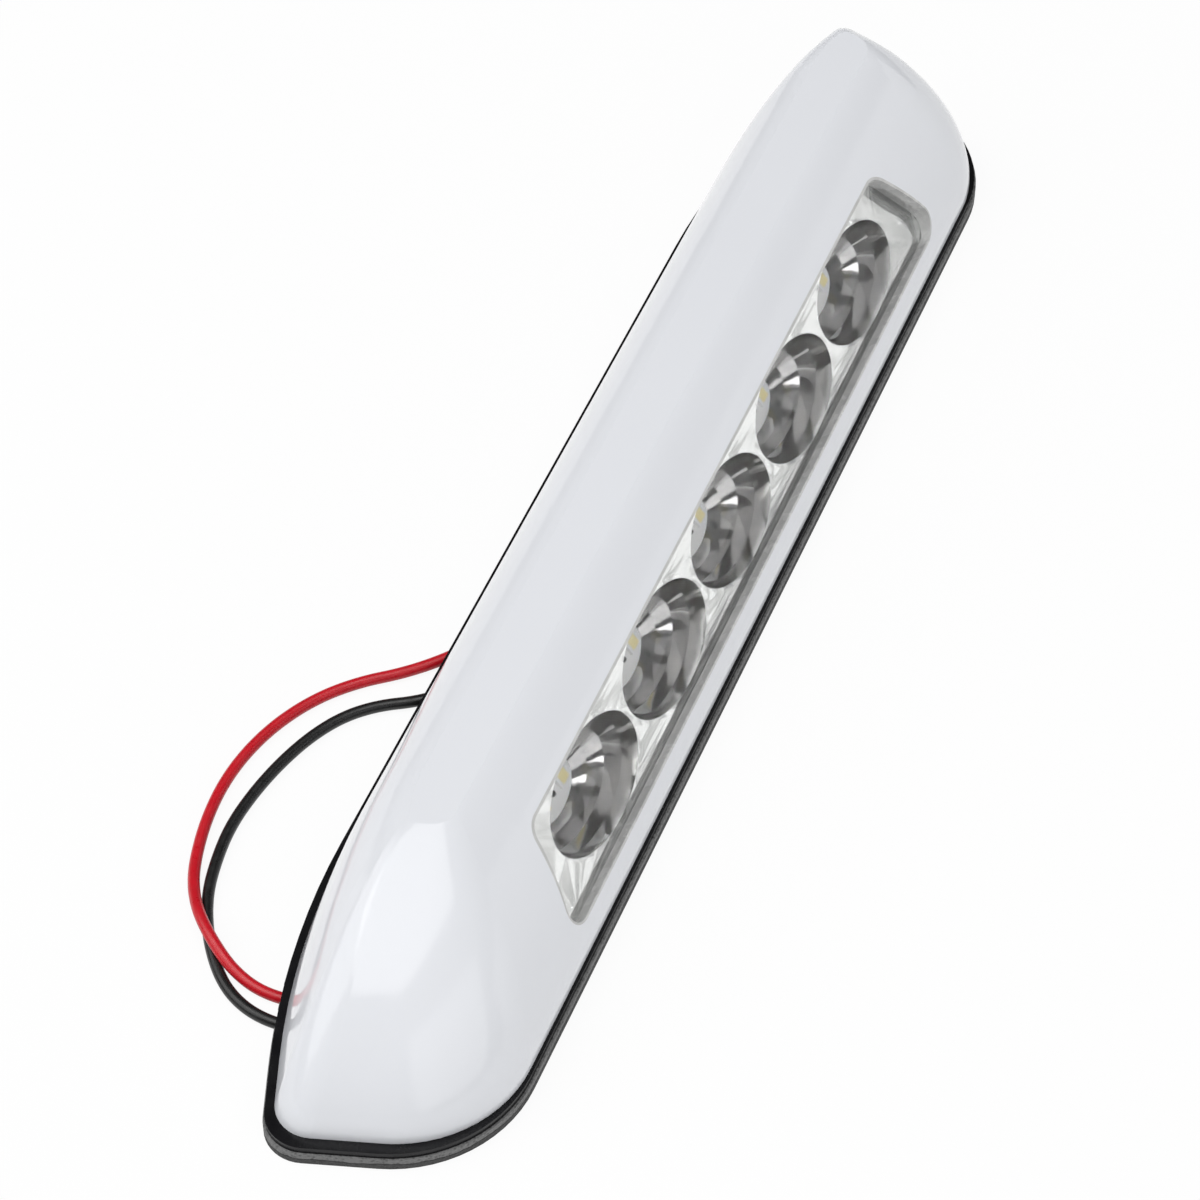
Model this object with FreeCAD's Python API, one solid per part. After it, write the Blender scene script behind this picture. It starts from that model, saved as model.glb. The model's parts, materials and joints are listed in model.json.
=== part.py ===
"""Porch light for a camper: a long moulded cover over five reflector cups, on a flat back plate.

Frame: +X along the lamp, -Y towards the lit window, +Z out of the wall.
The origin is the middle of the sealing pad's rear face. Millimetres.
"""
import FreeCAD, Part
import math
import os

from FreeCAD import Placement, Rotation, Vector

# Overall sizes
LENGTH = 259.2
WIDTH = 45.8
HEIGHT = 31.1

# Plan outline: long upper edge, two tapering shoulders, slanted ends, short lower edge
TAPER_DEG = 19.8
END_SLANT_DEG = 17.2
APEX_SHARE = 0.726
SHOULDER_RADIUS = 130.0
APEX_RADIUS = 6.5
LOWER_RADIUS = 23.0

# Sealing pad and back plate
PAD_THICKNESS = 2.4
PAD_OVERHANG = 0.4
PLATE_THICKNESS = 1.3
FLANGE_UPPER = 1.25
FLANGE_LOWER = 0.55
FLANGE_END = 2.2
RIM_HEIGHT = 1.8
RIM_WALL = 1.3
RIM_CLEARANCE = 0.25

# Wall screw holes
WALL_SCREW_SPACING = 190.0
WALL_HOLE_RADIUS = 2.25
WALL_SCREW_Y = -6.0
WALL_BOSS_RADIUS = 5.0
WALL_BOSS_HEIGHT = 1.6
PAD_HOLE_MARGIN = 0.8
PAD_GROOVE_MARGIN = 0.7

# Snap hooks between the plate's rim and the cover
SNAP_SPACING = 62.0
SNAP_LENGTH = 10.0
SNAP_REACH = 0.6
SNAP_HEIGHT = 0.8
SNAP_CLEARANCE = 0.2

# Cover section
COVER_WALL = 2.0
UPPER_DRAFT = 0.27
UPPER_ROUND = 7.0
UPPER_RISE_POWER = 3.2
UPPER_ROUND_POWER = 2.0
CROWN_WIDTH = 8.2
LOWER_RISE_POWER = 2.0
LOWER_ROUND_POWER = 1.25
LONG_END_REACH = 44.0
LONG_END_RISE_POWER = 1.6
LONG_END_ROUND_POWER = 1.4
SHORT_END_REACH = 18.0
SHORT_END_RISE_POWER = 1.3
SHORT_END_ROUND_POWER = 1.4
COVER_SECTIONS = 7

# Window in the cover, on a slanted plane
LIGHT_SHIFT = 4.0
WINDOW_INSET = 8.65
WINDOW_Z = 16.6
WINDOW_SLANT_DEG = 52.5
WINDOW_HEIGHT = 18.9
WINDOW_HALF_LENGTH = 83.0
WINDOW_END_FLARE = 8.0
WINDOW_CORNER_RADIUS = 4.0
WINDOW_FRAME_WALL = 1.6
WINDOW_LIP = 0.9
WINDOW_LIP_THICKNESS = 1.0
POCKET_REACH = 20.0

# Lens and the seal round it
LENS_THICKNESS = 1.6
LENS_FRONT = 1.6
SEAL_WALL = 0.5

# Reflector
CUP_COUNT = 5
CUP_PITCH = 30.35
CUP_MOUTH_RADIUS = 14.6
CUP_FLOOR_RADIUS = 6.9
CUP_SQUASH = 0.527
CUP_DEPTH = 9.6
CUP_BELLY = 1.3
CUP_RINGS = 4
REFLECTOR_WALL = 0.8

# Light board
BOARD_WIDTH = 15.0
BOARD_OVERHANG = 3.0
BOARD_THICKNESS = 1.0
LED_LENGTH = 3.5
LED_WIDTH = 2.8
LED_HEIGHT = 0.7
LED_SPACING = 7.4
PHOSPHOR_SIDE = 2.2
PHOSPHOR_HEIGHT = 0.15
RESISTOR_LENGTH = 0.8
RESISTOR_WIDTH = 1.6
RESISTOR_HEIGHT = 0.45
DIODE_LENGTH = 4.3
DIODE_WIDTH = 2.6
DIODE_HEIGHT = 1.2
DIODE_OFFSET = 3.6
JOINT_RADIUS = 1.35
JOINT_HEIGHT = 0.9
JOINT_OFFSET = 5.6

# Folded heat sink under the board
SINK_THICKNESS = 1.0
SINK_FOOT_WIDTH = 6.0
SINK_INSET = 2.0

# Small screws
BOARD_SCREW_RADIUS = 1.25
BOARD_SCREW_HEAD_RADIUS = 2.3
BOARD_SCREW_HEAD_HEIGHT = 1.1
FOOT_SCREW_RADIUS = 1.5
FOOT_SCREW_HEAD_RADIUS = 2.8
FOOT_SCREW_HEAD_HEIGHT = 1.6
FOOT_SCREW_SPACING = 100.0
SCREW_HOLE_CLEARANCE = 0.2

# Leads
LEAD_RADIUS = 1.0
LEAD_CROSSING_GAP = 0.35
LEAD_SLOPE_RISE = 0.8
TAIL_START_Z = 5.5
TAIL_RISE = 8.8
TAIL_ENTRY_REACH = 7.0
TAIL_DROP = 2.7
GROMMET_RADIUS = 3.8
GROMMET_COLLAR = 1.0
GROMMET_COLLAR_HEIGHT = 1.0
GROMMET_RECESS = 0.7
GROMMET_INSET = 11.6
GROMMET_CLEARANCE = 0.4
LEAD_HOLE_X = 1.3
LEAD_HOLE_Y = 0.9
LEAD_HOLE_CLEARANCE = 0.05
LEAD_BEND_SHARE = 0.45

# The leads' routes over the wall's plane: from the grommet, out in a loop and back behind the lamp
RED_ROUTE = [
    (-0.6, 12.9), (-8.4, 14.2), (-17.5, 16.2), (-24.5, 19.6), (-30.3, 23.8), (-35.5, 28.8), (-40.1, 34.9),
    (-45.7, 39.9), (-52.5, 43.6), (-59.9, 45.9), (-67.9, 46.8), (-76.3, 46.1), (-84.6, 44.1), (-90.3, 41.5),
    (-95.3, 37.9), (-99.3, 33.5), (-102.1, 28.8), (-103.7, 23.2), (-103.3, 16.4), (-99.7, 10.2), (-93.5, 5.9),
    (-85.9, 4.1),
]
BLACK_ROUTE = [
    (-2.9, 10.2), (-11.0, 10.7), (-21.5, 12.1), (-29.1, 15.1), (-35.5, 19.0), (-40.3, 24.2), (-43.5, 29.8),
    (-47.7, 34.2), (-53.5, 37.5), (-60.7, 39.9), (-68.5, 41.4), (-75.9, 41.9), (-83.1, 41.0), (-89.7, 39.4),
    (-96.3, 36.2), (-102.5, 31.6), (-106.3, 27.0), (-108.3, 21.2), (-107.9, 14.1), (-104.3, 7.2),
    (-97.9, 2.0), (-89.9, -0.8),
]
RED_SLOPES = (13, 16)
RED_CROSSINGS = (14, 15)

# Values worked out from the driving sizes
PLATE_TOP = PAD_THICKNESS + PLATE_THICKNESS
COVER_RISE = HEIGHT - PLATE_TOP
HALF_WIDTH = WIDTH / 2
FOOT_UPPER = HALF_WIDTH - FLANGE_UPPER
FOOT_LOWER = FLANGE_LOWER - HALF_WIDTH
CREST_Y = FOOT_UPPER - UPPER_DRAFT * COVER_RISE - UPPER_ROUND
LOWER_REACH = CREST_Y - CROWN_WIDTH - FOOT_LOWER
TAPER = math.radians(TAPER_DEG)
SLANT = math.radians(END_SLANT_DEG)
APEX_REACH = (math.cos(TAPER) + math.sin(SLANT)) / math.cos(TAPER - SLANT) - 1
APEX_X = LENGTH / 2 + APEX_RADIUS * APEX_REACH
WINDOW_CENTRE = Vector(LIGHT_SHIFT, WINDOW_INSET - HALF_WIDTH, WINDOW_Z)
WINDOW_PLACE = Placement(WINDOW_CENTRE, Rotation(Vector(1, 0, 0), WINDOW_SLANT_DEG))
LENS_REAR = LENS_FRONT - LENS_THICKNESS
LIP_TOP = LENS_REAR - REFLECTOR_WALL
LIP_REAR = LIP_TOP - WINDOW_LIP_THICKNESS
BOARD_TOP = LENS_REAR - CUP_DEPTH
BOARD_REAR = BOARD_TOP - BOARD_THICKNESS
BOARD_HALF_LENGTH = CUP_PITCH * (CUP_COUNT - 1) / 2 + CUP_FLOOR_RADIUS + BOARD_OVERHANG
CUP_XS = [CUP_PITCH * (i - (CUP_COUNT - 1) / 2) for i in range(CUP_COUNT)]
BETWEEN_CUPS = [CUP_PITCH * (i - (CUP_COUNT - 2) / 2) for i in range(CUP_COUNT - 1)]
GROMMET_X = LIGHT_SHIFT
GROMMET_Y = HALF_WIDTH - GROMMET_INSET
LEAD_LEVEL = LEAD_RADIUS
LEAD_SLOPE_LEVEL = LEAD_LEVEL + LEAD_SLOPE_RISE
LEAD_CROSSING_LEVEL = LEAD_LEVEL + 2 * LEAD_RADIUS + LEAD_CROSSING_GAP
RED_HOLE = (GROMMET_X + LEAD_HOLE_X, GROMMET_Y + LEAD_HOLE_Y)
BLACK_HOLE = (GROMMET_X - LEAD_HOLE_X, GROMMET_Y - LEAD_HOLE_Y)


def save(shape, node):
    """Writes one sub-part to its own file."""
    shape.exportStep("parts/" + node + ".step")


def rounded_wire(corners, radii, z):
    """Closed wire through a convex polygon's corners, each rounded by its own radius."""
    edges = []
    spans = []
    for i, corner in enumerate(corners):
        back = (corners[i - 1] - corner).normalize()
        ahead = (corners[(i + 1) % len(corners)] - corner).normalize()
        half = back.getAngle(ahead) / 2
        reach = radii[i] / math.tan(half)
        middle = corner + (back + ahead).normalize() * (radii[i] / math.sin(half) - radii[i])
        spans.append((corner + back * reach, middle, corner + ahead * reach))
    lift = Vector(0, 0, z)
    for i, (start, middle, end) in enumerate(spans):
        following = spans[(i + 1) % len(spans)][0]
        edges.append(Part.Arc(start + lift, middle + lift, end + lift).toShape())
        edges.append(Part.LineSegment(end + lift, following + lift).toShape())
    return Part.Wire(edges)


def plan_wire(y_upper, y_lower, end_insets, z):
    """The lamp's plan outline between two edges, with its left and right ends drawn in, at one height."""
    depth = y_upper - y_lower
    apex_y = y_lower + APEX_SHARE * depth
    ends = []
    for inset in end_insets:
        apex_x = APEX_X - inset
        shoulder_x = apex_x - (y_upper - apex_y) / math.tan(TAPER)
        lower_x = apex_x - (apex_y - y_lower) * math.tan(SLANT)
        ends.append([Vector(shoulder_x, y_upper, 0), Vector(apex_x, apex_y, 0), Vector(lower_x, y_lower, 0)])
    left = [Vector(-p.x, p.y, 0) for p in reversed(ends[0])]
    scale = depth / WIDTH
    radii = [SHOULDER_RADIUS * scale, APEX_RADIUS * scale, LOWER_RADIUS * scale]
    return rounded_wire(ends[1] + left, radii + radii[::-1], z)


def plan_plate(grow, z, thickness):
    """A flat plate of the plan outline, larger or smaller all round by the same amount."""
    wire = plan_wire(HALF_WIDTH + grow, -HALF_WIDTH - grow, (-grow, -grow), z)
    return Part.Face(wire).extrude(Vector(0, 0, thickness))


def bulge(rise, rise_power, round_power):
    """Share of a rounded side's reach that is used at a share of its rise."""
    return 1 - max(0.0, 1 - rise ** rise_power) ** (1 / round_power)


def cover_edges(rise, inset):
    """Upper edge, lower edge and end insets of the cover's outline at a share of its rise."""
    upper = UPPER_DRAFT * COVER_RISE * rise + UPPER_ROUND * bulge(rise, UPPER_RISE_POWER, UPPER_ROUND_POWER)
    lower = LOWER_REACH * bulge(rise, LOWER_RISE_POWER, LOWER_ROUND_POWER)
    left = LONG_END_REACH * bulge(rise, LONG_END_RISE_POWER, LONG_END_ROUND_POWER)
    right = SHORT_END_REACH * bulge(rise, SHORT_END_RISE_POWER, SHORT_END_ROUND_POWER)
    ends = [FLANGE_END + end + inset for end in (left, right)]
    return FOOT_UPPER - upper - inset, FOOT_LOWER + lower + inset, ends


def cover_body(wall):
    """The cover's form, whole; a wall thickness gives the space inside it."""
    first = wall / COVER_RISE
    wires = []
    for i in range(COVER_SECTIONS + 1):
        swing = math.sin(math.pi / 2 * i / COVER_SECTIONS)
        rise = first + (1 - first) * swing
        wires.append(plan_wire(*cover_edges(rise, wall), PLATE_TOP + rise * COVER_RISE - wall))
    return Part.makeLoft(wires, True, False)


def window_prism(grow, start, end):
    """A prism of the window's outline, larger or smaller all round, between two depths."""
    half = WINDOW_HEIGHT / 2 + grow
    upper_x = WINDOW_HALF_LENGTH - WINDOW_END_FLARE / 2 + grow
    lower_x = WINDOW_HALF_LENGTH + WINDOW_END_FLARE / 2 + grow
    right = [Vector(lower_x, -half, 0), Vector(upper_x, half, 0)]
    corners = right + [Vector(-p.x, p.y, 0) for p in reversed(right)]
    radii = [WINDOW_CORNER_RADIUS + grow] * 4
    prism = Part.Face(rounded_wire(corners, radii, start)).extrude(Vector(0, 0, end - start))
    prism.Placement = WINDOW_PLACE
    return prism


def placed(shape):
    """Moves a shape from the window's frame into the lamp's frame."""
    shape.Placement = WINDOW_PLACE.multiply(shape.Placement)
    return shape


def centred_box(x, y, z, dx, dy, dz):
    """A box centred on x and y that stands on z."""
    return Part.makeBox(dx, dy, dz, Vector(x - dx / 2, y - dy / 2, z))


def rod(x, y, z, radius, height):
    """An upright cylinder that stands on z."""
    return Part.makeCylinder(radius, height, Vector(x, y, z))


def rim_insets():
    """Edges of the back plate's rim, clear of the cover's inside at the rim's top."""
    return cover_edges((RIM_HEIGHT + COVER_WALL) / COVER_RISE, COVER_WALL + RIM_CLEARANCE)


def snap_places():
    """Middles of the snap hooks, with the side of the rim that each stands on."""
    return [(SNAP_SPACING * step, side) for step in (-1, 0, 1) for side in (1, -1)]


def snap_hooks(grow):
    """Wedge hooks on the rim's long sides; grown, they are the catches in the cover."""
    upper, lower, _ = rim_insets()
    base = PLATE_TOP + (RIM_HEIGHT - SNAP_HEIGHT) / 2
    hooks = []
    for x, side in snap_places():
        edge = upper if side > 0 else lower
        root = edge - side * RIM_WALL / 2
        tip = edge + side * (SNAP_REACH + grow)
        x0 = x - SNAP_LENGTH / 2 - grow
        points = [
            Vector(x0, root, base - grow),
            Vector(x0, tip, base - grow),
            Vector(x0, edge, base + SNAP_HEIGHT + grow),
            Vector(x0, root, base + SNAP_HEIGHT + grow),
        ]
        face = Part.Face(Part.makePolygon(points + points[:1]))
        hooks.append(face.extrude(Vector(SNAP_LENGTH + 2 * grow, 0, 0)))
    return hooks


def wall_screw_xs():
    """The two wall screws, along the lamp."""
    return [-WALL_SCREW_SPACING / 2, WALL_SCREW_SPACING / 2]


def foot_screw_places():
    """Screws through the heat sink's foot, in the lamp's frame."""
    y = sink_foot_start() + SINK_FOOT_WIDTH / 2
    return [(LIGHT_SHIFT + side * FOOT_SCREW_SPACING / 2, y) for side in (-1, 1)]


def lead_groove(hole, flat):
    """Groove through the pad along the stretches of a lead that lie behind the lamp."""
    line = Part.makePolygon([Vector(x, y, 0) for x, y in [hole] + flat])
    outline = line.makeOffset2D(LEAD_RADIUS + PAD_GROOVE_MARGIN)
    return Part.Face(outline).extrude(Vector(0, 0, PAD_THICKNESS))


def make_sealing_pad():
    """Foam pad behind the plate, cut out for the wall screws and the leads."""
    pad = plan_plate(PAD_OVERHANG, 0, PAD_THICKNESS)
    for x in wall_screw_xs():
        pad = pad.cut(rod(x, WALL_SCREW_Y, 0, WALL_HOLE_RADIUS + PAD_HOLE_MARGIN, PAD_THICKNESS))
    pad = pad.cut(rod(GROMMET_X, GROMMET_Y, 0, GROMMET_RADIUS + PAD_HOLE_MARGIN, PAD_THICKNESS))
    pad = pad.cut([lead_groove(RED_HOLE, RED_ROUTE), lead_groove(BLACK_HOLE, BLACK_ROUTE)])
    # The offcut between the two grooves falls away
    return max(pad.Solids, key=lambda solid: solid.Volume)


def make_base_plate():
    """Back plate with its locating rim, snap hooks, screw bosses and lead hole."""
    plate = plan_plate(0, PAD_THICKNESS, PLATE_THICKNESS)
    upper, lower, ends = rim_insets()
    outer = Part.Face(plan_wire(upper, lower, ends, PLATE_TOP))
    drawn_in = [end + RIM_WALL for end in ends]
    inner = Part.Face(plan_wire(upper - RIM_WALL, lower + RIM_WALL, drawn_in, PLATE_TOP))
    rim = outer.cut(inner).extrude(Vector(0, 0, RIM_HEIGHT))
    bosses = [rod(x, WALL_SCREW_Y, PLATE_TOP, WALL_BOSS_RADIUS, WALL_BOSS_HEIGHT) for x in wall_screw_xs()]
    plate = plate.fuse([rim] + snap_hooks(0) + bosses)
    drill = PLATE_THICKNESS + WALL_BOSS_HEIGHT
    for x in wall_screw_xs():
        plate = plate.cut(rod(x, WALL_SCREW_Y, PAD_THICKNESS, WALL_HOLE_RADIUS, drill))
    for x, y in foot_screw_places():
        plate = plate.cut(rod(x, y, PAD_THICKNESS, FOOT_SCREW_RADIUS, PLATE_THICKNESS))
    plate = plate.cut(rod(GROMMET_X, GROMMET_Y, PAD_THICKNESS, GROMMET_RADIUS, PLATE_THICKNESS))
    return plate.removeSplitter()


def make_front_cover():
    """Moulded shell with a slanted window, its frame wall and the lip that carries the reflector."""
    body = cover_body(0)
    frame = window_prism(WINDOW_FRAME_WALL, LIP_REAR, POCKET_REACH).common(body)
    shell = body.cut(cover_body(COVER_WALL)).fuse(frame)
    shell = shell.cut(window_prism(0, LIP_TOP, POCKET_REACH))
    shell = shell.cut(window_prism(-WINDOW_LIP, LIP_REAR - POCKET_REACH, POCKET_REACH))
    return shell.cut(snap_hooks(SNAP_CLEARANCE))


def make_lens():
    """Clear plate in the window's pocket, on the reflector's flange."""
    return window_prism(-SEAL_WALL, LENS_REAR, LENS_FRONT)


def make_lens_seal():
    """Thin dark lining of the pocket's wall, from the lip up to the cover's face."""
    lining = window_prism(0, LIP_TOP, POCKET_REACH).cut(window_prism(-SEAL_WALL, LIP_TOP, POCKET_REACH))
    return lining.common(cover_body(0))


def cup_form(x, grow):
    """One oval bowl with a bellied wall, from the lens's rear face down to the light board."""
    top = Vector(CUP_MOUTH_RADIUS, 0, LENS_REAR)
    low = Vector(CUP_FLOOR_RADIUS, 0, BOARD_TOP)
    middle = (top + low) * 0.5 + Vector(CUP_BELLY, 0, -CUP_BELLY)
    rings = []
    for point in Part.Arc(low, middle, top).toShape().discretize(CUP_RINGS + 1):
        oval = Part.Ellipse(Vector(x, 0, point.z), point.x + grow, point.x * CUP_SQUASH + grow)
        rings.append(Part.Wire(oval.toShape()))
    return Part.makeLoft(rings, True, True)


def make_reflector():
    """Plated strip: a flat flange behind the lens with five bowls that stand on the light board."""
    flange = window_prism(-SEAL_WALL, LIP_TOP, LENS_REAR)
    strip = flange.fuse([placed(cup_form(x, REFLECTOR_WALL)) for x in CUP_XS])
    for x in CUP_XS:
        strip = strip.cut(placed(cup_form(x, 0)))
    return strip


def board_screw_xs():
    """Board screws, between the outer pairs of cups."""
    return [BETWEEN_CUPS[0], BETWEEN_CUPS[-1]]


def make_led_board():
    """Metal-core board that carries the light sources."""
    board = centred_box(0, 0, BOARD_REAR, 2 * BOARD_HALF_LENGTH, BOARD_WIDTH, BOARD_THICKNESS)
    hole_radius = BOARD_SCREW_RADIUS + SCREW_HOLE_CLEARANCE
    for x in board_screw_xs():
        board = board.cut(rod(x, 0, BOARD_REAR, hole_radius, BOARD_THICKNESS))
    return placed(board)


def led_places():
    """Middles of the light sources, two in each cup."""
    return [(x + side * LED_SPACING / 2, 0) for x in CUP_XS for side in (-1, 1)]


def make_led_packages():
    """White packages, each with a square well for its phosphor."""
    bodies = []
    for x, y in led_places():
        body = centred_box(x, y, BOARD_TOP, LED_LENGTH, LED_WIDTH, LED_HEIGHT)
        bodies.append(placed(body.cut(phosphor_fill(x, y))))
    return Part.makeCompound(bodies)


def phosphor_fill(x, y):
    """The square fill of one package's well."""
    z = BOARD_TOP + LED_HEIGHT - PHOSPHOR_HEIGHT
    return centred_box(x, y, z, PHOSPHOR_SIDE, PHOSPHOR_SIDE, PHOSPHOR_HEIGHT)


def make_led_phosphors():
    """Pale yellow fill in the packages' wells."""
    return Part.makeCompound([placed(phosphor_fill(x, y)) for x, y in led_places()])


def make_resistors():
    """One chip resistor in each cup, between its two light sources."""
    chips = [centred_box(x, 0, BOARD_TOP, RESISTOR_LENGTH, RESISTOR_WIDTH, RESISTOR_HEIGHT) for x in CUP_XS]
    return Part.makeCompound([placed(chip) for chip in chips])


def make_polarity_diode():
    """Moulded diode under a web between two cups, where the board is clear of the bowls."""
    diode = centred_box(BETWEEN_CUPS[2], -DIODE_OFFSET, BOARD_TOP, DIODE_LENGTH, DIODE_WIDTH, DIODE_HEIGHT)
    return placed(diode)


def joint_places():
    """The red and the black wire's solder pads, near the board's upper edge between cups."""
    return [(x, JOINT_OFFSET) for x in (BETWEEN_CUPS[2], BETWEEN_CUPS[1])]


def make_solder_joints():
    """Low solder cones that hold the inner wires."""
    cones = []
    for x, y in joint_places():
        cone = Part.makeCone(JOINT_RADIUS, LEAD_RADIUS, JOINT_HEIGHT, Vector(x, y, BOARD_TOP))
        cones.append(placed(cone))
    return Part.makeCompound(cones)


def sink_points():
    """Section of the folded heat sink, as its outer line from the board's lower edge to the foot."""
    low = WINDOW_PLACE.multVec(Vector(0, -BOARD_WIDTH / 2 + SINK_INSET, BOARD_REAR))
    high = WINDOW_PLACE.multVec(Vector(0, BOARD_WIDTH / 2, BOARD_REAR))
    return low, high


def sink_foot_start():
    """Where the heat sink's foot turns away from its leg."""
    return sink_points()[1].y


def make_heat_sink():
    """Folded aluminium strip: a slanted seat for the board, a leg and a foot on the back plate."""
    low, high = sink_points()
    slant = math.radians(WINDOW_SLANT_DEG)
    normal = Vector(0, math.sin(slant), -math.cos(slant)) * SINK_THICKNESS
    leg_y = high.y
    inner_top = high.z - SINK_THICKNESS / math.cos(slant)
    foot_end = leg_y + SINK_FOOT_WIDTH
    points = [
        Vector(0, low.y, low.z),
        Vector(0, high.y, high.z),
        Vector(0, leg_y, PLATE_TOP + SINK_THICKNESS),
        Vector(0, foot_end, PLATE_TOP + SINK_THICKNESS),
        Vector(0, foot_end, PLATE_TOP),
        Vector(0, leg_y - SINK_THICKNESS, PLATE_TOP),
        Vector(0, leg_y - SINK_THICKNESS, inner_top - SINK_THICKNESS * math.tan(slant)),
        Vector(0, low.y, low.z) + normal,
    ]
    section = Part.Face(Part.makePolygon(points + points[:1]))
    sink = section.extrude(Vector(2 * BOARD_HALF_LENGTH, 0, 0))
    sink.translate(Vector(LIGHT_SHIFT - BOARD_HALF_LENGTH, 0, 0))
    for x in board_screw_xs():
        bore = rod(x, 0, BOARD_REAR - SINK_THICKNESS, BOARD_SCREW_RADIUS, SINK_THICKNESS)
        sink = sink.cut(placed(bore))
    for x, y in foot_screw_places():
        sink = sink.cut(rod(x, y, PLATE_TOP, FOOT_SCREW_RADIUS + SCREW_HOLE_CLEARANCE, SINK_THICKNESS))
    notch_radius = GROMMET_RADIUS + GROMMET_COLLAR + GROMMET_CLEARANCE
    return sink.cut(rod(GROMMET_X, GROMMET_Y, PLATE_TOP, notch_radius, SINK_THICKNESS))


def make_board_screws():
    """Pan-head screws that hold the board to the heat sink."""
    screws = []
    grip = BOARD_THICKNESS + SINK_THICKNESS
    for x in board_screw_xs():
        shank = rod(x, 0, BOARD_TOP - grip, BOARD_SCREW_RADIUS, grip)
        head = rod(x, 0, BOARD_TOP, BOARD_SCREW_HEAD_RADIUS, BOARD_SCREW_HEAD_HEIGHT)
        screws.append(placed(shank.fuse(head).removeSplitter()))
    return Part.makeCompound(screws)


def make_foot_screws():
    """Screws that hold the heat sink's foot to the back plate."""
    screws = []
    for x, y in foot_screw_places():
        shank = rod(x, y, PAD_THICKNESS, FOOT_SCREW_RADIUS, PLATE_THICKNESS + SINK_THICKNESS)
        head = rod(x, y, PLATE_TOP + SINK_THICKNESS, FOOT_SCREW_HEAD_RADIUS, FOOT_SCREW_HEAD_HEIGHT)
        screws.append(shank.fuse(head).removeSplitter())
    return Part.makeCompound(screws)


def make_cable_grommet():
    """Soft bush in the back plate, with a collar inside and a hole for each lead."""
    bottom = PAD_THICKNESS + GROMMET_RECESS
    bush = rod(GROMMET_X, GROMMET_Y, bottom, GROMMET_RADIUS, PLATE_TOP - bottom)
    collar = rod(GROMMET_X, GROMMET_Y, PLATE_TOP, GROMMET_RADIUS + GROMMET_COLLAR, GROMMET_COLLAR_HEIGHT)
    bush = bush.fuse(collar).removeSplitter()
    tall = PLATE_TOP + GROMMET_COLLAR_HEIGHT - bottom
    for x, y in (RED_HOLE, BLACK_HOLE):
        bush = bush.cut(rod(x, y, bottom, LEAD_RADIUS + LEAD_HOLE_CLEARANCE, tall))
    return bush


def lead_disc(centre, direction):
    """The lead's round section, square to its line."""
    return Part.Face(Part.Wire(Part.makeCircle(LEAD_RADIUS, centre, direction)))


def route_tube(points, name):
    """A round tube along straight runs joined by tangent arcs as large as the runs allow."""
    pieces = []
    start = points[0]
    length = 0.0
    for before, corner, after in zip(points, points[1:], points[2:]):
        back = before - corner
        ahead = after - corner
        half = back.getAngle(ahead) / 2
        reach = LEAD_BEND_SHARE * min(back.Length, ahead.Length)
        radius = reach * math.tan(half)
        back.normalize()
        ahead.normalize()
        centre = corner + (back + ahead).normalize() * (radius / math.sin(half))
        enter = corner + back * reach
        turn = math.pi - 2 * half
        pieces.append(lead_disc(start, enter - start).extrude(enter - start))
        pieces.append(lead_disc(enter, back).revolve(centre, ahead.cross(back), math.degrees(turn)))
        print(name, "bend radius", round(radius, 1))
        length += (enter - start).Length + radius * turn
        start = corner + ahead * reach
    pieces.append(lead_disc(start, points[-1] - start).extrude(points[-1] - start))
    length += (points[-1] - start).Length
    tube = pieces[0].fuse(pieces[1:])
    share = tube.Volume / (math.pi * LEAD_RADIUS ** 2 * length)
    print(name, "length", round(length, 1), "volume share", round(share, 4), "solids", len(tube.Solids))
    return tube


def lead_points(hole, flat, slopes, crossings):
    """A lead's route: down through its hole, along the wall, and over the other lead where they cross."""
    points = [Vector(hole[0], hole[1], TAIL_START_Z), Vector(hole[0], hole[1], LEAD_LEVEL)]
    for i, (x, y) in enumerate(flat):
        level = LEAD_LEVEL
        if i in slopes:
            level = LEAD_SLOPE_LEVEL
        if i in crossings:
            level = LEAD_CROSSING_LEVEL
        points.append(Vector(x, y, level))
    return points


def tail_points(hole, joint):
    """An inner wire's route: up from its lead, over the heat sink's edge and down to its solder joint."""
    x, y = joint
    top = BOARD_TOP + JOINT_HEIGHT
    over = [(y + TAIL_ENTRY_REACH, top + TAIL_DROP), (y, top + TAIL_DROP), (y, top)]
    rise = [Vector(hole[0], hole[1], TAIL_START_Z), Vector(hole[0], hole[1], TAIL_START_Z + TAIL_RISE)]
    return rise + [WINDOW_PLACE.multVec(Vector(x, up, out)) for up, out in over]


def make_all():
    """Builds and writes every sub-part."""
    os.makedirs("parts", exist_ok=True)
    save(make_sealing_pad(), "sealing_pad")
    save(make_base_plate(), "base_plate")
    save(make_front_cover(), "front_cover")
    save(make_lens(), "lens")
    save(make_lens_seal(), "lens_seal")
    save(make_reflector(), "reflector")
    save(make_led_board(), "led_board")
    save(make_led_packages(), "led_packages")
    save(make_led_phosphors(), "led_phosphors")
    save(make_resistors(), "resistors")
    save(make_polarity_diode(), "polarity_diode")
    save(make_solder_joints(), "solder_joints")
    save(make_heat_sink(), "heat_sink")
    save(make_board_screws(), "board_screws")
    save(make_foot_screws(), "foot_screws")
    save(make_cable_grommet(), "cable_grommet")
    red_points = lead_points(RED_HOLE, RED_ROUTE, RED_SLOPES, RED_CROSSINGS)
    save(route_tube(red_points, "red_lead"), "red_lead")
    save(route_tube(lead_points(BLACK_HOLE, BLACK_ROUTE, (), ()), "black_lead"), "black_lead")
    red_joint, black_joint = joint_places()
    save(route_tube(tail_points(RED_HOLE, red_joint), "red_tail"), "red_tail")
    save(route_tube(tail_points(BLACK_HOLE, black_joint), "black_tail"), "black_tail")


make_all()
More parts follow.
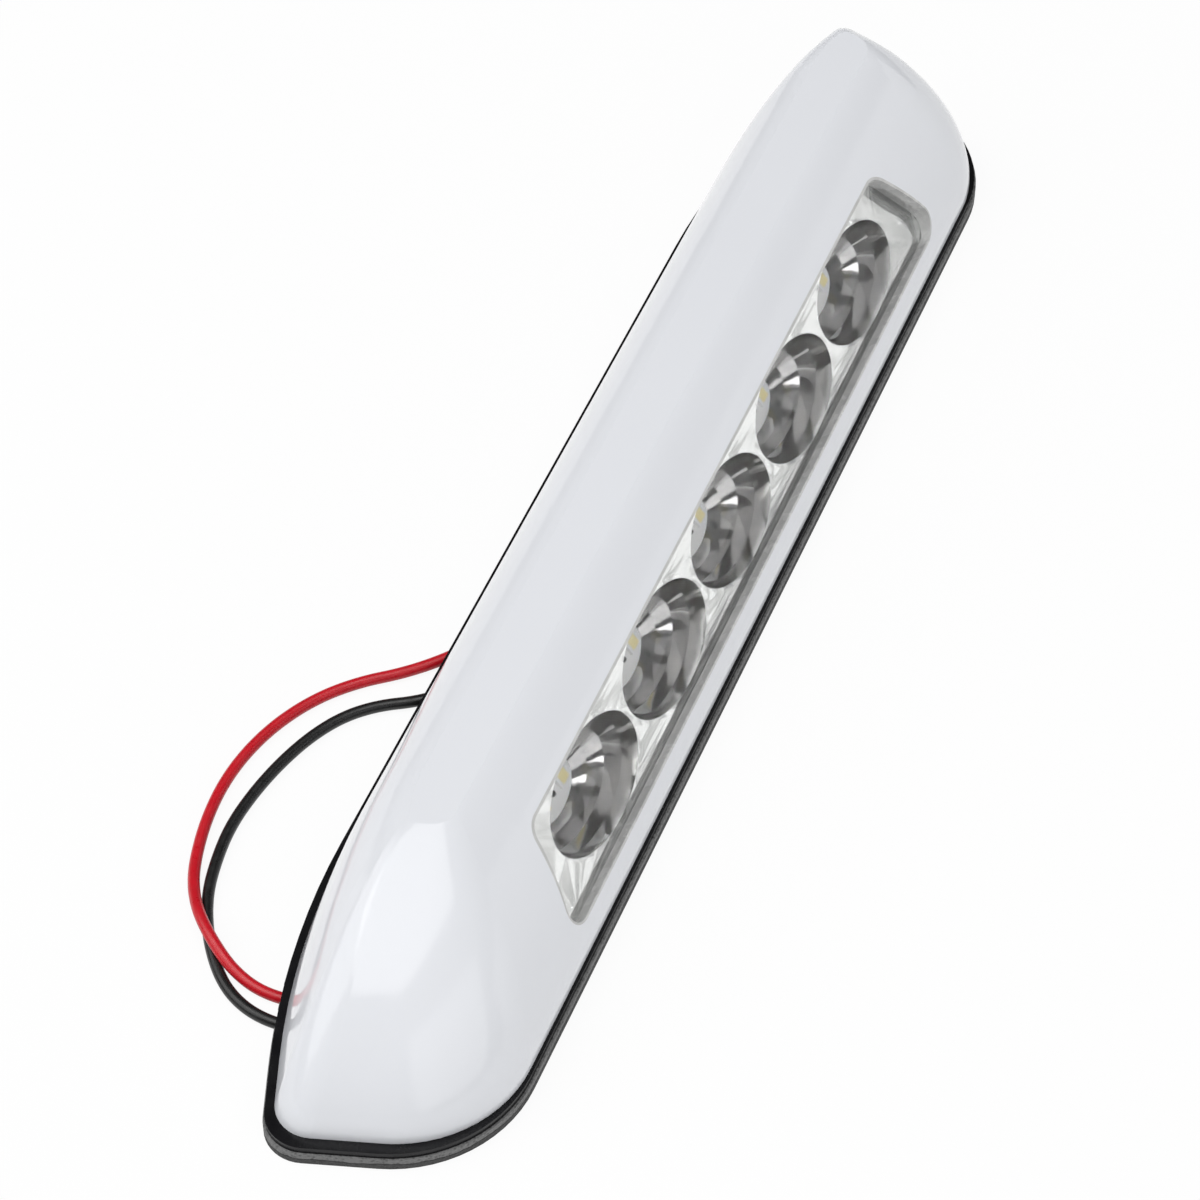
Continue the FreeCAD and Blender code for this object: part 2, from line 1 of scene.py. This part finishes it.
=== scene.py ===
"""Looks of a camper porch light: white cover, clear window, bright reflector cups, foam pad and two leads.

Metres, in the part's own frame: +X along the lamp, -Y towards the window, +Z out of the wall.
The lamp lies on its back on a pale floor.
"""
import json

import bpy
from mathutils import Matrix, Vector


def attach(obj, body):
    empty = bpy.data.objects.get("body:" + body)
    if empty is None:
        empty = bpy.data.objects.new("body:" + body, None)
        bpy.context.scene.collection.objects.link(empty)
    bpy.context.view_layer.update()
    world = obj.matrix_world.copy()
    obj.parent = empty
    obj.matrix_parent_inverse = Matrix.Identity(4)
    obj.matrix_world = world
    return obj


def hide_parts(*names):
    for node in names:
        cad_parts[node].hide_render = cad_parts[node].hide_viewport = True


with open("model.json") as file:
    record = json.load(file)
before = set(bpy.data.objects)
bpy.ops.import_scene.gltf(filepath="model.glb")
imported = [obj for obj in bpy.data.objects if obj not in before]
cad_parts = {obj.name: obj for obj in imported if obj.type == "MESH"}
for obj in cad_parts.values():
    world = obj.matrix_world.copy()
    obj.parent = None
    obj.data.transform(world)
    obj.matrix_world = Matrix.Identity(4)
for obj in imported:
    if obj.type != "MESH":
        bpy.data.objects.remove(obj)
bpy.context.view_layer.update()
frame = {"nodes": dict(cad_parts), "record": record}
nodes = frame["nodes"]
MM = 0.001

# Camera, at the photograph's angle
CAMERA_AT = Vector((-438.9, -170.5, 542.6)) * MM
CAMERA_VIEW = Vector((0.60335, 0.24522, -0.75884))
CAMERA_LENS = 126.0
SENSOR_WIDTH = 36.0

# The window's slanted plane: its outward direction, the reflector's flange along it, and how far below
# the flange the painted shade and painted dark reflection in the bowls give way to the plating's own bright
# colour, and where that colour is full, in metres
WINDOW_NORMAL = (0.0, -0.7934, 0.6088)
FLANGE_DEPTH = 0.0214
BOWL_SHADE_FADE = (0.0012, 0.0004)

# Leads: the route of each over the floor, in millimetres
LEAD_RADIUS = 1.0
LEAD_START_Z = 5.5
LEAD_SLOPE_LEVEL = 1.8
LEAD_CROSSING_LEVEL = 3.35
RED_HOLE = (5.3, 12.2)
BLACK_HOLE = (2.7, 10.4)
RED_ROUTE = [
    (-0.6, 12.9), (-8.4, 14.2), (-17.5, 16.2), (-24.5, 19.6), (-30.3, 23.8), (-35.5, 28.8), (-40.1, 34.9),
    (-45.7, 39.9), (-52.5, 43.6), (-59.9, 45.9), (-67.9, 46.8), (-76.3, 46.1), (-84.6, 44.1), (-90.3, 41.5),
    (-95.3, 37.9), (-99.3, 33.5), (-102.1, 28.8), (-103.7, 23.2), (-103.3, 16.4), (-99.7, 10.2),
    (-93.5, 5.9), (-85.9, 4.1),
]
BLACK_ROUTE = [
    (-2.9, 10.2), (-11.0, 10.7), (-21.5, 12.1), (-29.1, 15.1), (-35.5, 19.0), (-40.3, 24.2), (-43.5, 29.8),
    (-47.7, 34.2), (-53.5, 37.5), (-60.7, 39.9), (-68.5, 41.4), (-75.9, 41.9), (-83.1, 41.0), (-89.7, 39.4),
    (-96.3, 36.2), (-102.5, 31.6), (-106.3, 27.0), (-108.3, 21.2), (-107.9, 14.1), (-104.3, 7.2),
    (-97.9, 2.0), (-89.9, -0.8),
]

# Where the red lead climbs and passes over the black one: places in its route
RED_SLOPES = (13, 16)
RED_CROSSINGS = (14, 15)

# The foam pad's two layers: the height of the line between them and how far it spreads, in metres
FOAM_LINE = 0.0012
FOAM_LINE_SPREAD = 0.00015
FOAM_RAGGED = 0.0002

# Finishes of the small parts: dark shade, light shade, roughness range, grain scale and metal share
BLACK = (0.012, 0.012, 0.012)
SMALL_FINISHES = {
    "black_epoxy": (BLACK, (0.05, 0.05, 0.05), (0.35, 0.6), 1500.0, 0.0),
    "solder": ((0.55, 0.56, 0.58), (0.75, 0.76, 0.77), (0.15, 0.4), 1200.0, 1.0),
    "bare_aluminium": ((0.6, 0.61, 0.62), (0.75, 0.76, 0.77), (0.3, 0.5), 500.0, 1.0),
    "screw_steel": ((0.45, 0.45, 0.46), (0.62, 0.62, 0.62), (0.2, 0.45), 1000.0, 1.0),
    "black_rubber": (BLACK, (0.04, 0.04, 0.04), (0.5, 0.8), 900.0, 0.0),
    "dark_seal": ((0.4, 0.4, 0.4), (0.7, 0.7, 0.69), (0.15, 0.35), 260.0, 0.0),
    "red_insulation": ((0.5, 0.004, 0.012), (0.63, 0.008, 0.02), (0.25, 0.42), 400.0, 0.0),
    "black_insulation": ((0.004, 0.004, 0.004), BLACK, (0.25, 0.42), 400.0, 0.0),
}

# Floor: side in metres, grey level, and how much of what a ray sees is plain white
FLOOR_SIDE = 6.0
FLOOR_GREY = 0.9
FLOOR_WHITE_SHARE = 0.92

# Light: the room's level, and each soft box's place, width and height in metres and power in watts
ROOM_LEVEL = 0.1
SOFT_BOXES = {
    "left_light": ((-0.4, 0.85, 0.9), 1.3, 1.1, 8.6),
    "top_light": ((-0.15, 0.1, 1.3), 1.0, 1.0, 9.0),
    "front_light": ((-0.75, -1.0, 0.7), 1.4, 1.2, 7.0),
    "right_light": ((0.66, -0.88, 0.3), 1.4, 0.6, 2.5),
}


def make_camera():
    """A camera that looks down on the lamp's foot end."""
    data = bpy.data.cameras.new("camera")
    data.lens = CAMERA_LENS
    data.sensor_width = SENSOR_WIDTH
    data.clip_start = 0.01
    camera = bpy.data.objects.new("camera", data)
    camera.location = CAMERA_AT
    camera.rotation_mode = "QUATERNION"
    camera.rotation_quaternion = CAMERA_VIEW.to_track_quat("-Z", "Y")
    bpy.context.scene.collection.objects.link(camera)
    bpy.context.scene.camera = camera


def lead_points(hole, route, slopes, crossings):
    """A lead's control points, in metres: down through its hole, over the floor and over the other lead."""
    points = [(*hole, LEAD_START_Z), (*hole, LEAD_RADIUS)]
    for i, place in enumerate(route):
        level = LEAD_RADIUS
        if i in slopes:
            level = LEAD_SLOPE_LEVEL
        if i in crossings:
            level = LEAD_CROSSING_LEVEL
        points.append((*place, level))
    return [Vector(point) * MM for point in points]


def make_lead(colour, points, material):
    """One free lead as a round NURBS cord in place of its CAD tube."""
    curve = bpy.data.curves.new(colour + "_cord", "CURVE")
    curve.dimensions = "3D"
    curve.bevel_depth = LEAD_RADIUS * MM
    curve.bevel_resolution = 6
    curve.resolution_u = 12
    curve.use_fill_caps = True
    spline = curve.splines.new("NURBS")
    spline.points.add(len(points) - 1)
    for target, point in zip(spline.points, points):
        target.co = (*point, 1.0)
    spline.order_u = 3
    spline.use_endpoint_u = True
    curve.materials.append(material)
    cord = bpy.data.objects.new(colour + "_cord", curve)
    bpy.context.scene.collection.objects.link(cord)
    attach(cord, "root")
    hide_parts(colour + "_lead")


class Finish:
    """A material with its shader, its object coordinates and short ways to add detail."""

    def __init__(self, name, colour, roughness, metallic=0.0):
        self.material = bpy.data.materials.new(name)
        self.material.use_nodes = True
        self.tree = self.material.node_tree
        self.shader = self.tree.nodes["Principled BSDF"]
        self.set("Base Color", (*colour, 1.0))
        self.set("Roughness", roughness)
        self.set("Metallic", metallic)
        self.place = self.add("ShaderNodeTexCoord").outputs["Object"]

    def set(self, socket, value):
        self.shader.inputs[socket].default_value = value

    def add(self, kind, **inputs):
        node = self.tree.nodes.new(kind)
        for socket, value in inputs.items():
            node.inputs[socket.replace("_", " ")].default_value = value
        return node

    def link(self, output, node, socket):
        self.tree.links.new(output, node.inputs[socket])

    def noise(self, scale, detail=3.0):
        node = self.add("ShaderNodeTexNoise", Scale=scale, Detail=detail)
        self.link(self.place, node, "Vector")
        return node.outputs["Fac"]

    def cells(self, scale):
        node = self.add("ShaderNodeTexVoronoi", Scale=scale)
        self.link(self.place, node, "Vector")
        return node

    def span(self, value, low, high, to_low, to_high):
        node = self.add("ShaderNodeMapRange", From_Min=low, From_Max=high, To_Min=to_low, To_Max=to_high)
        self.link(value, node, "Value")
        return node.outputs["Result"]

    def both(self, first, second, operation):
        node = self.add("ShaderNodeMath")
        node.operation = operation
        self.tree.links.new(first, node.inputs[0])
        self.tree.links.new(second, node.inputs[1])
        return node.outputs["Value"]

    def tint(self, amount, colour_a, colour_b):
        node = self.add("ShaderNodeMix")
        node.data_type = "RGBA"
        colours = [socket for socket in node.inputs if socket.type == "RGBA"]
        for socket, colour in zip(colours, (colour_a, colour_b)):
            if isinstance(colour, tuple):
                socket.default_value = (*colour, 1.0)
            else:
                self.tree.links.new(colour, socket)
        self.tree.links.new(amount, node.inputs["Factor"])
        return next(socket for socket in node.outputs if socket.type == "RGBA")

    def paint(self, output):
        self.link(output, self.shader, "Base Color")

    def rough(self, value, low, high):
        self.link(self.span(value, 0.3, 0.7, low, high), self.shader, "Roughness")

    def bump(self, height, strength, distance):
        node = self.add("ShaderNodeBump", Strength=strength, Distance=distance)
        self.link(height, node, "Height")
        self.link(node.outputs["Normal"], self.shader, "Normal")


def specks(finish, scale, size, share):
    """Sparse small dots: a mask that is 1 in a few cells' middles."""
    cells = finish.cells(scale)
    chosen = finish.span(cells.outputs["Color"], 1 - share, 1 - share + 0.001, 0.0, 1.0)
    dot = finish.span(cells.outputs["Distance"], size, size * 0.6, 0.0, 1.0)
    return finish.both(chosen, dot, "MULTIPLY")


def white_plastic():
    """Gloss moulding with a faint ripple and a few dust specks."""
    finish = Finish("white_gloss_plastic", (0.8, 0.805, 0.825), 0.12)
    finish.set("IOR", 1.5)
    finish.set("Specular IOR Level", 0.4)
    shade = finish.tint(finish.noise(25.0), (0.76, 0.775, 0.81), (0.785, 0.8, 0.835))
    finish.paint(finish.tint(specks(finish, 90.0, 0.035, 0.06), shade, (0.3, 0.29, 0.28)))
    finish.rough(finish.noise(60.0), 0.07, 0.13)
    finish.bump(finish.noise(140.0, 1.0), 0.02, 0.0005)
    return finish.material


def black_plastic():
    """Glossy black moulding with fine handling marks."""
    finish = Finish("black_plastic", (0.006, 0.006, 0.007), 0.2)
    finish.set("Specular IOR Level", 0.2)
    finish.paint(finish.tint(finish.noise(400.0), (0.004, 0.004, 0.005), (0.009, 0.009, 0.01)))
    finish.rough(finish.noise(250.0), 0.14, 0.3)
    finish.bump(finish.noise(900.0), 0.08, 0.0002)
    return finish.material


def grey_foam():
    """Closed-cell foam in two layers, with pores and a ragged cut edge; the pores' middles are darkened as
    painted shade.
    """
    finish = Finish("grey_foam", (0.13, 0.13, 0.13), 0.95)
    split = finish.add("ShaderNodeSeparateXYZ")
    finish.link(finish.place, split, "Vector")
    ragged = finish.span(finish.noise(350.0), 0.3, 0.7, -FOAM_RAGGED, FOAM_RAGGED)
    height = finish.both(split.outputs["Z"], ragged, "ADD")
    upper = finish.span(height, FOAM_LINE + 0.0001, FOAM_LINE + 0.0002, 0.0, 1.0)
    layers = finish.tint(upper, (0.075, 0.075, 0.075), (0.21, 0.21, 0.21))
    below = finish.span(height, FOAM_LINE - FOAM_LINE_SPREAD, FOAM_LINE, 0.0, 1.0)
    above = finish.span(height, FOAM_LINE, FOAM_LINE + FOAM_LINE_SPREAD, 1.0, 0.0)
    line = finish.both(below, above, "MULTIPLY")
    seamed = finish.tint(line, layers, (0.02, 0.02, 0.02))
    pores = finish.cells(1600.0).outputs["Distance"]
    # painted shade: the middle of each pore is darkened as if shaded inside its hollow
    finish.paint(finish.tint(finish.span(pores, 0.1, 0.5, 0.55, 0.0), seamed, (0.03, 0.03, 0.03)))
    finish.bump(finish.both(pores, finish.noise(500.0), "ADD"), 0.7, 0.0004)
    return finish.material


def clear_plastic():
    """Clear lens with slight haze."""
    finish = Finish("clear_plastic", (0.97, 0.98, 0.985), 0.0)
    finish.set("IOR", 1.49)
    finish.set("Transmission Weight", 1.0)
    finish.set("Specular IOR Level", 0.2)
    finish.set("Alpha", 0.05)
    finish.rough(finish.noise(90.0), 0.0, 0.02)
    return finish.material


def bright_plating():
    """Bright plating on the flange; in the bowls its colour is darkened as painted shade and painted dark
    reflection of the room, with the soft waves of the moulding under it.
    """
    finish = Finish("bright_plating", (0.8, 0.81, 0.82), 0.05, 1.0)
    depth = finish.add("ShaderNodeVectorMath")
    depth.operation = "DOT_PRODUCT"
    depth.inputs[1].default_value = WINDOW_NORMAL
    finish.link(finish.place, depth, 0)
    start, full = (FLANGE_DEPTH - fade for fade in BOWL_SHADE_FADE)
    flange = finish.span(depth.outputs["Value"], start, full, 0.0, 1.0)
    # painted shade: the bowls' plating is darkened, with a random mottle, to stand in for shade and the
    # dark room reflected in the cups
    painted_bowl_shade = finish.tint(finish.noise(300.0), (0.27, 0.27, 0.28), (0.56, 0.555, 0.54))
    finish.paint(finish.tint(flange, painted_bowl_shade, (0.86, 0.87, 0.86)))
    finish.rough(finish.noise(400.0), 0.03, 0.1)
    finish.bump(finish.noise(120.0, 2.0), 0.12, 0.0008)
    return finish.material


def white_board():
    """White solder mask over a metal core."""
    finish = Finish("white_board", (0.82, 0.83, 0.82), 0.4)
    finish.paint(finish.tint(finish.noise(900.0), (0.88, 0.89, 0.88), (0.94, 0.95, 0.94)))
    finish.rough(finish.noise(700.0), 0.3, 0.5)
    return finish.material


def light_phosphor():
    """Pale yellow silicone with fine grains."""
    finish = Finish("light_phosphor", (0.9, 0.74, 0.3), 0.35)
    finish.paint(finish.tint(finish.noise(4000.0), (0.96, 0.84, 0.38), (0.99, 0.92, 0.56)))
    finish.rough(finish.noise(3000.0), 0.25, 0.45)
    return finish.material


def small_finish(name, dark, light, rough, scale, metallic):
    """A small part's surface: two shades, uneven gloss and a fine grain."""
    finish = Finish(name, light, rough[1], metallic)
    finish.paint(finish.tint(finish.noise(scale), dark, light))
    finish.rough(finish.noise(scale * 1.7), *rough)
    finish.bump(finish.noise(scale * 2.5), 0.1, 0.0001)
    return finish.material


def make_finishes():
    """Every finish by the record's slot name."""
    finishes = {
        "white_gloss_plastic": white_plastic(),
        "black_plastic": black_plastic(),
        "grey_foam": grey_foam(),
        "clear_plastic": clear_plastic(),
        "bright_plating": bright_plating(),
        "white_board": white_board(),
        "light_phosphor": light_phosphor(),
    }
    for name, look in SMALL_FINISHES.items():
        finishes[name] = small_finish(name, *look)
    return finishes


def dress_nodes(finishes):
    """Gives each CAD node the finish of its slot in the record."""
    for part in frame["record"]["subparts"]:
        mesh = nodes[part["node"]].data
        mesh.materials.clear()
        mesh.materials.append(finishes[part["material_slot"]])


def make_floor():
    """Pale floor that reads as white, and still takes the lamp's shadow."""
    bpy.ops.mesh.primitive_plane_add(size=FLOOR_SIDE)
    floor = bpy.context.object
    floor.name = "floor"
    material = bpy.data.materials.new("floor")
    material.use_nodes = True
    tree = material.node_tree
    shader = tree.nodes["Principled BSDF"]
    shader.inputs["Base Color"].default_value = (FLOOR_GREY, FLOOR_GREY, FLOOR_GREY, 1.0)
    shader.inputs["Roughness"].default_value = 0.9
    shader.inputs["Specular IOR Level"].default_value = 0.0
    glow = tree.nodes.new("ShaderNodeEmission")
    path = tree.nodes.new("ShaderNodeLightPath")
    seen = path.outputs["Is Camera Ray"]
    for ray in ("Is Glossy Ray", "Is Transmission Ray"):
        either = tree.nodes.new("ShaderNodeMath")
        either.operation = "MAXIMUM"
        tree.links.new(seen, either.inputs[0])
        tree.links.new(path.outputs[ray], either.inputs[1])
        seen = either.outputs["Value"]
    share = tree.nodes.new("ShaderNodeMath")
    share.operation = "MULTIPLY"
    share.inputs[1].default_value = FLOOR_WHITE_SHARE
    tree.links.new(seen, share.inputs[0])
    mix = tree.nodes.new("ShaderNodeMixShader")
    tree.links.new(share.outputs["Value"], mix.inputs["Fac"])
    tree.links.new(shader.outputs["BSDF"], mix.inputs[1])
    tree.links.new(glow.outputs["Emission"], mix.inputs[2])
    tree.links.new(mix.outputs["Shader"], tree.nodes["Material Output"].inputs["Surface"])
    floor.data.materials.append(material)


def make_softbox(name, place, width, height, power):
    """A rectangular soft light that faces the lamp's middle."""
    data = bpy.data.lights.new(name, "AREA")
    data.shape = "RECTANGLE"
    data.size = width
    data.size_y = height
    data.energy = power
    light = bpy.data.objects.new(name, data)
    light.location = place
    light.rotation_mode = "QUATERNION"
    light.rotation_quaternion = (-Vector(place)).to_track_quat("-Z", "Y")
    bpy.context.scene.collection.objects.link(light)


def make_light():
    """Studio light: a dim room and soft boxes above, in front and on both sides."""
    world = bpy.data.worlds.new("studio")
    world.use_nodes = True
    background = world.node_tree.nodes["Background"]
    background.inputs["Color"].default_value = (1.0, 1.0, 1.0, 1.0)
    background.inputs["Strength"].default_value = ROOM_LEVEL
    bpy.context.scene.world = world
    for name, box in SOFT_BOXES.items():
        make_softbox(name, *box)


def main():
    finishes = make_finishes()
    dress_nodes(finishes)
    red = lead_points(RED_HOLE, RED_ROUTE, RED_SLOPES, RED_CROSSINGS)
    make_lead("red", red, finishes["red_insulation"])
    make_lead("black", lead_points(BLACK_HOLE, BLACK_ROUTE, (), ()), finishes["black_insulation"])
    make_floor()
    make_light()
    make_camera()
    bpy.context.scene.view_settings.view_transform = "Standard"


main()
